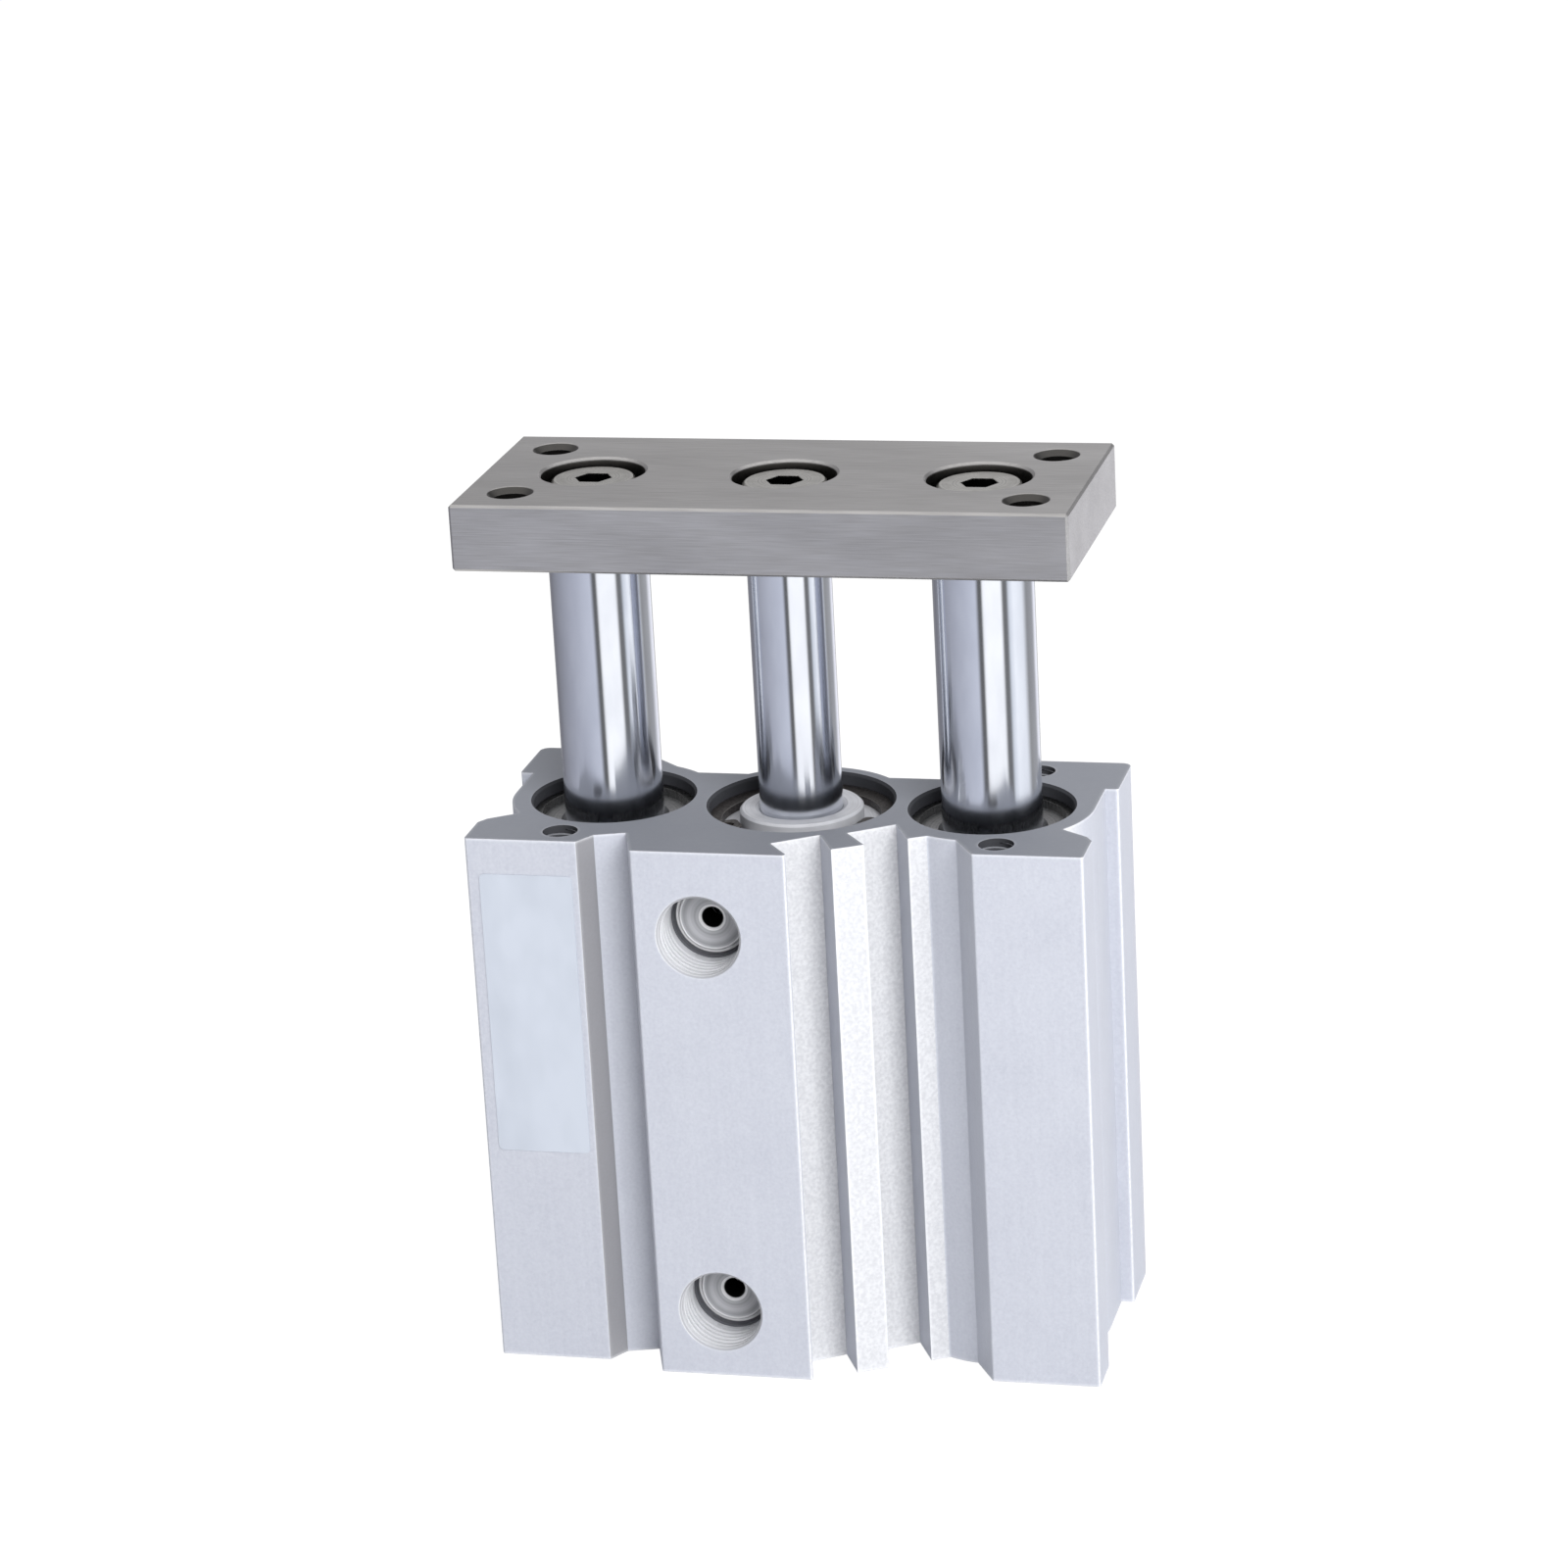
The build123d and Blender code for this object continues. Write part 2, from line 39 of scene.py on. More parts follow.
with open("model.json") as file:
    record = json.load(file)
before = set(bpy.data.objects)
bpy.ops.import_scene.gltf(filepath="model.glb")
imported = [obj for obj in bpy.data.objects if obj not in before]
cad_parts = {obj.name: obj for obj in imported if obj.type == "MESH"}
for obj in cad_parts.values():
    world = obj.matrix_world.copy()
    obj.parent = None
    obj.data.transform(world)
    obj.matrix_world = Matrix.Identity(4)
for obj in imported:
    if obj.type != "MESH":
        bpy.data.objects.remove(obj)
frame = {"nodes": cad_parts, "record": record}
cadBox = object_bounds()
record = frame["record"]
mm = 0.001
guideX = 23.25               # from the piston rod's axis to a guide rod's
edgeRays = 6                 # rays that look for edges
edgeLikeness = (0.995, 0.9)  # how alike the two normals are off an edge, and on it
noiseSpan = (0.3, 0.7)       # nearly all of a noise pattern lies between these values
noiseCore = (0.35, 0.65)     # and most of it between these
twoNoises = (0.8, 1.2)       # the sum of two patterns
print("frame loaded:", len(frame["nodes"]), "nodes")


def colour(hexValue):
    # sRGB hex to the linear numbers that shaders take
    linear = []
    for start in (1, 3, 5):
        share = int(hexValue[start:start + 2], 16) / 255
        linear.append(share / 12.92 if share <= 0.04045 else ((share + 0.055) / 1.055) ** 2.4)
    return (*linear, 1.0)


def addNode(tree, kind, inputs=None, **settings):
    # inputs maps a socket's name or number to a plain value or to another node's output
    node = tree.nodes.new("ShaderNode" + kind)
    for name, value in settings.items():
        setattr(node, name, value)
    for name, value in (inputs or {}).items():
        if isinstance(value, bpy.types.NodeSocket):
            tree.links.new(value, node.inputs[name])
        else:
            node.inputs[name].default_value = value
    return node


def newMaterial(name, metallic, roughness):
    material = bpy.data.materials.new(name)
    material.use_nodes = True
    tree = material.node_tree
    surface = tree.nodes["Principled BSDF"]
    surface.inputs["Metallic"].default_value = metallic
    surface.inputs["Roughness"].default_value = roughness
    place = addNode(tree, "TexCoord").outputs["Object"]
    return material, tree, surface, place


def connect(tree, surface, **sockets):
    for name, output in sockets.items():
        tree.links.new(output, surface.inputs[name.replace("_", " ")])


def spread(tree, value, fromLow, fromHigh, toLow=0.0, toHigh=1.0):
    inputs = {0: value, 1: fromLow, 2: fromHigh, 3: toLow, 4: toHigh}
    return addNode(tree, "MapRange", inputs).outputs[0]


def sums(tree, operation, value, *others):
    # does the same sum with each of the others in turn
    for other in others:
        value = addNode(tree, "Math", {0: value, 1: other}, operation=operation).outputs[0]
    return value


def blendColours(tree, share, first, second):
    # first and second are hex values or the outputs of other nodes
    shades = [colour(shade) if isinstance(shade, str) else shade for shade in (first, second)]
    inputs = {0: share, 6: shades[0], 7: shades[1]}
    return addNode(tree, "Mix", inputs, data_type="RGBA").outputs[2]


def mottled(tree, finish, pattern, span):
    # from the finish's light colour to its shade where the pattern runs over span
    return blendColours(tree, spread(tree, pattern, *span), finish["light"], finish["shade"])


def unevenRoughness(tree, finish, pattern):
    return spread(tree, pattern, *noiseSpan, *finish["roughnessRange"])


def grain(tree, place, width, stretch=(1, 1, 1), detail=2.0):
    # noise with spots about width millimetres wide, drawn out along the axes by stretch
    scale = [1 / (width * mm * times) for times in stretch]
    scaled = addNode(tree, "VectorMath", {0: place, 1: scale}, operation="MULTIPLY").outputs[0]
    return addNode(tree, "TexNoise", {"Vector": scaled, "Scale": 1.0, "Detail": detail}).outputs[0]


def latheLines(tree, distance, pitch):
    # uneven rings that a turning tool leaves, pitch millimetres apart
    steps = sums(tree, "DIVIDE", distance, pitch * mm)
    inputs = {"W": steps, "Scale": 1.0, "Detail": 1.0}
    return addNode(tree, "TexNoise", inputs, noise_dimensions="1D").outputs[0]


def folded(tree, place):
    # all four quarters laid over the one at the back right
    return addNode(tree, "VectorMath", {0: place}, operation="ABSOLUTE").outputs[0]


def axisDistance(tree, place, centre, across=(1, 1, 0)):
    # distance in metres from an axis through centre; across is 1 for the axes at right angles
    flat = addNode(tree, "VectorMath", {0: place, 1: across}, operation="MULTIPLY").outputs[0]
    middle = [value * mm * keep for value, keep in zip(centre, across)]
    inputs = {0: flat, 1: middle}
    return addNode(tree, "VectorMath", inputs, operation="DISTANCE").outputs["Value"]


def rodDistance(tree, place):
    # distance from the nearest of the three rods' axes
    outer = axisDistance(tree, folded(tree, place), (guideX, 0, 0))
    return sums(tree, "MINIMUM", outer, axisDistance(tree, place, (0, 0, 0)))


def within(tree, distance, reach, blend=0.05):
    # 1 nearer than reach and 0 farther away; blend softens the step to either side
    return spread(tree, distance, (reach + blend) * mm, (reach - blend) * mm)


def beyond(tree, distance, reach, blend=0.05):
    return spread(tree, distance, (reach - blend) * mm, (reach + blend) * mm)


def brokenEdges(tree, radius):
    # normal that rounds the edges off by radius
    return addNode(tree, "Bevel", {"Radius": radius * mm}, samples=edgeRays).outputs[0]


def edgeShare(tree, broken):
    # how much a point lies on a broken edge
    flat = addNode(tree, "NewGeometry").outputs["Normal"]
    inputs = {0: broken, 1: flat}
    likeness = addNode(tree, "VectorMath", inputs, operation="DOT_PRODUCT").outputs["Value"]
    return spread(tree, likeness, *edgeLikeness)


def relief(tree, height, depth, normal=None):
    # bump from a height pattern whose full range is depth millimetres
    inputs = {"Height": height, "Distance": depth * mm, "Strength": 1.0}
    if normal is not None:
        inputs["Normal"] = normal
    return addNode(tree, "Bump", inputs).outputs[0]


# Body: extruded aluminium, bead blasted and then clear anodised. The blasting gives a pale, even
# sparkle and no reflections; the sawn and milled ends are smoother, and darker: partly their own
# tone, partly painted shade for the top, which gets little light.
anodised = {
    "blasted": "#bfc2cb",
    "blastedShade": "#afb2bd",
    "coarseAndLit": "#d2d3d6",         # faces leaning to the right: coarser grain, and a lighter colour that is painted light from the soft boxes
    "coarseAndLitShade": "#c2c3c7",
    "leaning": (0.3, 0.5),       # a face leans from these shares of its normal along X
    "upright": (0.95, 0.85),     # up to these
    # the ends' own darker tone, with painted shade for the dimly lit top
    "milled": "#9b9ea6",
    "milledShade": "#90939c",
    "shadedBores": "#3c3d41",          # walls of bores and tapped holes: painted shade, for the little light that reaches into them
    "slotShade": "#8f8f93",      # painted shade on one wall of the slot by the ports, which the pad hides from the soft boxes
    # painted highlight along the convex edges
    "edge": "#f3f4f8",
    "blastedMetal": 0.22,        # the blasted skin scatters most of the light
    "milledMetal": 0.45,
    "blastedRoughness": 0.55,
    "milledRoughness": 0.62,
    "gloss": 0.5,
    "boredGloss": 0.08,
    "sparkle": 0.06,             # how much smoother the dimples' rims are
    "levelNormal": (0.85, 0.95),
    "grainWidth": 0.34,          # real dimples are near 0.1; drawn coarser so that they show
    "coarseGrain": 0.42,
    "grainDepth": 0.016,
    "cloudWidth": 7.0,
    "cloudShare": 0.3,
    "drawnWidth": 0.7,           # faint lines along the extrusion
    "drawnStretch": (1, 1, 90),
    "drawnShare": 0.25,
    "shadeSpan": (0.45, 1.1),
    "cutterAxis": (-34.0, 90, 0),    # the milling marks on the ends are arcs round this axis
    "cutterPitch": 0.45,         # real marks are finer
    "markDepth": 0.0005,
    "edgeWidth": 0.14,
    "highlightWidth": 0.42,           # edges get a painted highlight over this width
    "highlightSpan": (0.95, 0.55),
    "highlightShare": 0.4,
    "levelHighlightShare": 0.2,
    "boreReach": 12.1,           # bored within these distances from the holes' axes
    "guideReach": 10.6,
    "topHole": (26.3, 13.2, 0),
    "bottomHole": (31.0, 13.2, 0),
    "holeReach": 2.9,
    "slotSide": -15.0,           # the wall with painted shade lies left of this, in front of the next
    "slotBack": -9.0,
    "slotNormal": 0.45,
}

# Ports: bored with a form tool, which leaves a pale land round the air passage. Painted highlights:
# the bright ring at the land's edge and the bright rim round the passage. Painted shade: the dark
# line round the land's foot and the dark passage.
ports = {
    "wall": "#bdbec2",
    "ring": "#cbccd0",
    "ringShade": "#a4a5a9",
    "landHighlight": "#f0f0f2",
    "footShade": "#5c5d62",
    "rimHighlight": "#f0f0f2",
    "passageShade": "#0c0c0d",
    "mouth": "#9b9ca1",
    "ringPitch": 0.62,           # real feed marks are finer
    "reach": 5.3,                # a whole port lies within this distance from its axis
    "landHighlightReach": 3.8,
    "footShadeReach": 4.5,
    "rimHighlightReach": 1.66,
    "passageShadeReach": 1.33,
    "mouthReach": 4.945,
    "mouthBlend": 0.025,
    "face": -19.19,              # where a port begins, where its bottom lies, and where it ends
    "faceBlend": 0.04,
    "bottom": -12.95,
    "end": -8.0,
}


def levelShare(tree, side):
    # 1 where faces point along an axis; side is the normal's part along it
    return spread(tree, sums(tree, "ABSOLUTE", side, 0.0), *anodised["levelNormal"])


def boreZone(tree, place):
    # 1 in the bores and the tapped holes of both ends
    quarter = folded(tree, place)
    holes = (
        (place, (0, 0, 0), anodised["boreReach"]),
        (quarter, (guideX, 0, 0), anodised["guideReach"]),
        (quarter, anodised["topHole"], anodised["holeReach"]),
        (quarter, anodised["bottomHole"], anodised["holeReach"]),
    )
    shares = [within(tree, axisDistance(tree, *hole[:2]), hole[2]) for hole in holes]
    return sums(tree, "MAXIMUM", *shares)


def portZone(tree, place, depth):
    # 1 in the ports, and the distance from the nearer port's axis; depth runs along Y
    distances = []
    for mount in record["mounts"]:
        if mount["kind"] == "threaded_hole":
            centre = [value / mm for value in mount["pos_m"]]
            distances.append(axisDistance(tree, place, centre, across=(1, 0, 1)))
    fromPort = sums(tree, "MINIMUM", *distances)
    behindFace = beyond(tree, depth, ports["face"], ports["faceBlend"])
    beforeEnd = sums(tree, "LESS_THAN", depth, ports["end"] * mm)
    inside = within(tree, fromPort, ports["reach"])
    return sums(tree, "MULTIPLY", inside, behindFace, beforeEnd), fromPort


def portColour(tree, fromPort, depth, side):
    rings = spread(tree, latheLines(tree, fromPort, ports["ringPitch"]), *noiseSpan)
    ringColour = blendColours(tree, rings, ports["ringShade"], ports["ring"])
    shade = blendColours(tree, levelShare(tree, side), ports["wall"], ringColour)
    deep = sums(tree, "GREATER_THAN", depth, ports["bottom"] * mm)
    # painted highlight on the land's edge, painted shade round its foot
    for name in ("landHighlight", "footShade"):
        share = sums(tree, "MULTIPLY", beyond(tree, fromPort, ports[name + "Reach"]), deep)
        shade = blendColours(tree, share, shade, ports[name])
    # painted highlight on the passage's rim, painted shade in the passage
    for name in ("rimHighlight", "passageShade"):
        share = within(tree, fromPort, ports[name + "Reach"])
        shade = blendColours(tree, share, shade, ports[name])
    share = beyond(tree, fromPort, ports["mouthReach"], ports["mouthBlend"])
    return blendColours(tree, share, shade, ports["mouth"])


def skinColour(tree, place, side, dimples, milled):
    # the blasted faces, the faces leaning right with coarser grain and painted light, and the
    # milled faces;
    # side is the normal's part along X
    clouds = grain(tree, place, anodised["cloudWidth"])
    drawn = grain(tree, place, anodised["drawnWidth"], stretch=anodised["drawnStretch"])
    clouds = sums(tree, "MULTIPLY", clouds, anodised["cloudShare"])
    drawn = sums(tree, "MULTIPLY", drawn, anodised["drawnShare"])
    shade = spread(tree, sums(tree, "ADD", clouds, drawn, dimples), *anodised["shadeSpan"])
    blasted = blendColours(tree, shade, anodised["blasted"], anodised["blastedShade"])
    pits = spread(tree, grain(tree, place, anodised["coarseGrain"], detail=3.0), *noiseCore)
    coarseAndLit = blendColours(tree, pits, anodised["coarseAndLit"], anodised["coarseAndLitShade"])
    # lighter colour on the faces leaning to the right: painted light
    leaning = spread(tree, side, *anodised["leaning"])
    leaning = sums(tree, "MULTIPLY", leaning, spread(tree, side, *anodised["upright"]))
    blasted = blendColours(tree, leaning, blasted, coarseAndLit)
    ends = blendColours(tree, shade, anodised["milled"], anodised["milledShade"])
    return blendColours(tree, milled, blasted, ends)


def slotWall(tree, side, at, outside):
    # 1 on the slot wall that gets painted shade, where the pad hides it from the light
    turned = sums(tree, "GREATER_THAN", side, anodised["slotNormal"])
    left = sums(tree, "LESS_THAN", at["X"], anodised["slotSide"] * mm)
    front = sums(tree, "LESS_THAN", at["Y"], anodised["slotBack"] * mm)
    return sums(tree, "MULTIPLY", turned, outside, left, front)


# painted highlight along the convex edges, fainter on the level ends
def edgeHighlight(tree, level, outside):
    reach = {"Distance": anodised["highlightWidth"] * mm}
    inner = addNode(tree, "AmbientOcclusion", reach, samples=edgeRays, inside=True).outputs["AO"]
    share = spread(tree, level, 0, 1, anodised["highlightShare"], anodised["levelHighlightShare"])
    return sums(tree, "MULTIPLY", spread(tree, inner, *anodised["highlightSpan"]), share, outside)


def skinNormal(tree, place, dimples, milled):
    arcs = latheLines(tree, axisDistance(tree, place, anodised["cutterAxis"]),
                      anodised["cutterPitch"])
    blastedHeight = sums(tree, "MULTIPLY", dimples, anodised["grainDepth"])
    milledHeight = sums(tree, "MULTIPLY", arcs, anodised["markDepth"])
    height = addNode(tree, "Mix", {0: milled, 2: blastedHeight, 3: milledHeight}).outputs[0]
    return relief(tree, height, 1.0, brokenEdges(tree, anodised["edgeWidth"]))


def anodisedAluminium():
    material, tree, surface, place = newMaterial(
        "anodised_aluminium", anodised["blastedMetal"], anodised["blastedRoughness"])
    facing = addNode(tree, "TexCoord").outputs["Normal"]
    facing = addNode(tree, "SeparateXYZ", {0: facing}).outputs
    at = addNode(tree, "SeparateXYZ", {0: place}).outputs
    level = levelShare(tree, facing["Z"])
    milled = sums(tree, "MAXIMUM", level, boreZone(tree, place))
    shadedBores = sums(tree, "SUBTRACT", milled, level)
    inPorts, fromPort = portZone(tree, place, at["Y"])
    inHoles = sums(tree, "MAXIMUM", shadedBores, inPorts)
    outside = sums(tree, "SUBTRACT", 1.0, inHoles)

    dimples = grain(tree, place, anodised["grainWidth"], detail=3.0)
    base = skinColour(tree, place, facing["X"], dimples, milled)
    # painted shade on the walls of the bores and tapped holes
    base = blendColours(tree, shadedBores, base, anodised["shadedBores"])
    base = blendColours(tree, inPorts, base, portColour(tree, fromPort, at["Y"], facing["Y"]))
    # painted shade on the slot wall beside the pad
    slotShade = slotWall(tree, facing["X"], at, outside)
    base = blendColours(tree, slotShade, base, anodised["slotShade"])
    # painted highlight on the edges
    base = blendColours(tree, edgeHighlight(tree, level, outside), base, anodised["edge"])

    metal = spread(tree, milled, 0, 1, anodised["blastedMetal"], anodised["milledMetal"])
    metal = sums(tree, "MULTIPLY", metal, outside)
    rough = spread(tree, milled, 0, 1, anodised["blastedRoughness"], anodised["milledRoughness"])
    sparkle = spread(tree, dimples, *noiseCore, anodised["sparkle"], -anodised["sparkle"])
    rough = sums(tree, "ADD", rough, sparkle)
    gloss = spread(tree, inHoles, 0, 1, anodised["gloss"], anodised["boredGloss"])
    connect(tree, surface, Base_Color=base, Metallic=metal, Roughness=rough,
            Specular_IOR_Level=gloss, Normal=skinNormal(tree, place, dimples, milled))
    return material


# Covers and piston: aluminium turned on a lathe, so its faces carry fine rings that catch the
# light.
turnedFinish = {
    "light": "#d6d7dc",
    "shade": "#c6c7cc",
    "metal": 0.5,
    "roughness": 0.55,
    "roughnessRange": (0.5, 0.62),
    "cloudWidth": 3.0,
    "ringPitch": 0.16,
    "ringDepth": 0.0012,
    "edgeWidth": 0.1,
}


def turnedAluminium():
    material, tree, surface, place = newMaterial(
        "turned_aluminium", turnedFinish["metal"], turnedFinish["roughness"])
    middle = axisDistance(tree, place, (0, 0, 0))
    rings = latheLines(tree, middle, turnedFinish["ringPitch"])
    clouds = grain(tree, place, turnedFinish["cloudWidth"])
    base = mottled(tree, turnedFinish, sums(tree, "ADD", rings, clouds), twoNoises)
    rough = unevenRoughness(tree, turnedFinish, clouds)
    broken = brokenEdges(tree, turnedFinish["edgeWidth"])
    normal = relief(tree, rings, turnedFinish["ringDepth"], broken)
    connect(tree, surface, Base_Color=base, Roughness=rough, Normal=normal)
    return material


# Rods: steel, hard-chromed and ground. A clear mirror with hair-fine marks around the rod.
chrome = {
    "light": "#e2e5ec",
    "shade": "#dadde5",
    "roughness": 0.14,
    "roughnessRange": (0.12, 0.16),
    "cloudWidth": 2.5,
    "cloudStretch": (1, 1, 3),
    "stretch": 0.85,             # grinding runs around the rod, so reflections smear along it
    "stretchTurn": 0.25,
    "edgeWidth": 0.1,
}


def hardChrome():
    material, tree, surface, place = newMaterial("hard_chromed_steel", 1.0, chrome["roughness"])
    clouds = grain(tree, place, chrome["cloudWidth"], stretch=chrome["cloudStretch"])
    base = mottled(tree, chrome, clouds, noiseCore)
    rough = unevenRoughness(tree, chrome, clouds)
    surface.inputs["Anisotropic"].default_value = chrome["stretch"]
    surface.inputs["Anisotropic Rotation"].default_value = chrome["stretchTurn"]
    around = addNode(tree, "Tangent", direction_type="RADIAL", axis="Z").outputs[0]
    broken = brokenEdges(tree, chrome["edgeWidth"])
    connect(tree, surface, Base_Color=base, Roughness=rough, Normal=broken, Tangent=around)
    return material


# Tool plate: ground steel under a thin nickel plating, a warm grey with fine lines along it.
plateFinish = {
    "light": "#c9c7c6",
    "shade": "#b5b3b2",
    # painted highlight along the edges
    "edge": "#e0dedc",
    "edgeShare": 0.25,
    "recess": "#595755",         # painted shade in the screw recesses and tapped holes
    "recessReach": 6.4,
    "recessDepth": 0.35,
    "recessBlend": 0.15,
    "hole": (30.6, 9.7, 0),
    "holeReach": 3.05,
    "holeDepth": 0.06,
    "holeBlend": 0.04,
    "faceHeight": 107.5,
    "roughness": 0.36,
    "roughnessRange": (0.3, 0.44),
    "lineWidth": 0.16,           # real grinding lines are near 0.05
    "lineLength": 5.0,
    "lineDepth": 0.006,
    "cloudWidth": 5.0,
    "cloudStretch": (3, 1, 1),
    "cloudShare": 0.8,
    "shadeSpan": (0.65, 1.15),
    "edgeWidth": 0.07,
}


def belowFace(tree, place, depth, blend):
    # 1 deeper than depth under the plate's top face
    height = addNode(tree, "SeparateXYZ", {0: place}).outputs["Z"]
    return within(tree, height, plateFinish["faceHeight"] - depth, blend)


def nickelPlatedSteel():
    material, tree, surface, place = newMaterial(
        "nickel_plated_ground_steel", 1.0, plateFinish["roughness"])
    stretch = plateFinish["lineLength"] / plateFinish["lineWidth"]
    lines = grain(tree, place, plateFinish["lineWidth"], stretch=(stretch, 1, 1), detail=3.0)
    clouds = grain(tree, place, plateFinish["cloudWidth"], stretch=plateFinish["cloudStretch"])
    clouds = sums(tree, "MULTIPLY", clouds, plateFinish["cloudShare"])
    base = mottled(tree, plateFinish, sums(tree, "ADD", lines, clouds), plateFinish["shadeSpan"])

    inRecess = within(tree, rodDistance(tree, place), plateFinish["recessReach"])
    deep = belowFace(tree, place, plateFinish["recessDepth"], plateFinish["recessBlend"])
    inRecess = sums(tree, "MULTIPLY", inRecess, deep)
    fromHole = axisDistance(tree, folded(tree, place), plateFinish["hole"])
    inHole = within(tree, fromHole, plateFinish["holeReach"])
    deep = belowFace(tree, place, plateFinish["holeDepth"], plateFinish["holeBlend"])
    inHole = sums(tree, "MULTIPLY", inHole, deep)
    # painted shade in the recesses and holes
    dark = sums(tree, "MAXIMUM", inRecess, inHole)
    base = blendColours(tree, dark, base, plateFinish["recess"])

    broken = brokenEdges(tree, plateFinish["edgeWidth"])
    # painted highlight along the broken edges
    onEdge = sums(tree, "MULTIPLY", edgeShare(tree, broken), plateFinish["edgeShare"])
    base = blendColours(tree, onEdge, base, plateFinish["edge"])
    rough = unevenRoughness(tree, plateFinish, lines)
    normal = relief(tree, lines, plateFinish["lineDepth"], broken)
    connect(tree, surface, Base_Color=base, Roughness=rough, Normal=normal)
    return material


# Screws: cold-headed steel, nickel plated, brighter than the plate, with rings on the head.
screwFinish = {
    "light": "#d2d0cb",
    "shade": "#b7b5b1",
    "socket": "#2f2e2d",         # painted shade: the socket is too narrow for light
    "socketReach": 2.4,
    "socketTop": 106.6,
    "roughness": 0.3,
    "roughnessRange": (0.24, 0.38),
    "cloudWidth": 1.6,
    "ringPitch": 0.2,
    "ringDepth": 0.004,
    "edgeWidth": 0.15,
}


def nickelPlatedScrews():
    material, tree, surface, place = newMaterial(
        "nickel_plated_screw_steel", 1.0, screwFinish["roughness"])
    nearest = rodDistance(tree, place)
    rings = latheLines(tree, nearest, screwFinish["ringPitch"])
    clouds = grain(tree, place, screwFinish["cloudWidth"])
    base = mottled(tree, screwFinish, sums(tree, "ADD", rings, clouds), twoNoises)
    height = addNode(tree, "SeparateXYZ", {0: place}).outputs["Z"]
    near = sums(tree, "LESS_THAN", nearest, screwFinish["socketReach"] * mm)
    low = sums(tree, "LESS_THAN", height, screwFinish["socketTop"] * mm)
    inSocket = sums(tree, "MULTIPLY", near, low)
    # painted shade in the hex sockets
    base = blendColours(tree, inSocket, base, screwFinish["socket"])
    rough = unevenRoughness(tree, screwFinish, clouds)
    broken = brokenEdges(tree, screwFinish["edgeWidth"])
    normal = relief(tree, rings, screwFinish["ringDepth"], broken)
    connect(tree, surface, Base_Color=base, Roughness=rough, Normal=normal)
    return material


# Guide bushings: cast bearing alloy, faced on a lathe, a dull grey with rings and fine pores.
bushingFinish = {
    "light": "#b2b2b3",
    "shade": "#98989a",
    "metal": 0.95,
    "roughness": 0.34,
    "roughnessRange": (0.34, 0.48),
    "poreWidth": 0.5,            # real pores are finer
    "ringPitch": 0.22,
    "ringDepth": 0.003,
}


def bearingAlloy():
    material, tree, surface, place = newMaterial(
        "turned_bearing_alloy", bushingFinish["metal"], bushingFinish["roughness"])
    fromAxis = axisDistance(tree, folded(tree, place), (guideX, 0, 0))
    rings = latheLines(tree, fromAxis, bushingFinish["ringPitch"])
    pores = grain(tree, place, bushingFinish["poreWidth"])
    base = mottled(tree, bushingFinish, sums(tree, "ADD", rings, pores), twoNoises)
    rough = unevenRoughness(tree, bushingFinish, pores)
    normal = relief(tree, rings, bushingFinish["ringDepth"])
    connect(tree, surface, Base_Color=base, Roughness=rough, Normal=normal)
    return material


# Retaining rings of the covers: stamped spring steel, phosphated, a near-black crystalline skin.
phosphated = {
    "light": "#4a4644",
    "shade": "#2c2a2a",
    "edge": "#8a8785",
    "edgeShare": 0.6,
    "metal": 0.55,
    "roughness": 0.42,
    "roughnessRange": (0.34, 0.52),
    "crystalWidth": 0.25,        # real crystals are far finer
    "crystalDepth": 0.01,
    "edgeWidth": 0.15,
}


def phosphatedSteel():
    material, tree, surface, place = newMaterial(
        "phosphated_spring_steel", phosphated["metal"], phosphated["roughness"])
    crystals = grain(tree, place, phosphated["crystalWidth"], detail=4.0)
    base = mottled(tree, phosphated, crystals, noiseCore)
    broken = brokenEdges(tree, phosphated["edgeWidth"])
    onEdge = sums(tree, "MULTIPLY", edgeShare(tree, broken), phosphated["edgeShare"])
    base = blendColours(tree, onEdge, base, phosphated["edge"])
    rough = unevenRoughness(tree, phosphated, crystals)
    normal = relief(tree, crystals, phosphated["crystalDepth"], broken)
    connect(tree, surface, Base_Color=base, Roughness=rough, Normal=normal)
    return material


# Snap rings over the bushings: spring steel, ground bright, with short fine lines.
snapRing = {
    "light": "#7c7c7b",
    "shade": "#5e5e5d",
    "roughness": 0.25,
    "roughnessRange": (0.2, 0.36),
    "lineWidth": 0.12,
    "lineStretch": (12, 1, 12),
    "lineDepth": 0.002,
    "edgeWidth": 0.12,
}


def brightSpringSteel():
    material, tree, surface, place = newMaterial("ground_spring_steel", 1.0, snapRing["roughness"])
    lines = grain(tree, place, snapRing["lineWidth"], stretch=snapRing["lineStretch"])
    base = mottled(tree, snapRing, lines, noiseCore)
    rough = unevenRoughness(tree, snapRing, lines)
    broken = brokenEdges(tree, snapRing["edgeWidth"])
    normal = relief(tree, lines, snapRing["lineDepth"], broken)
    connect(tree, surface, Base_Color=base, Roughness=rough, Normal=normal)
    return material


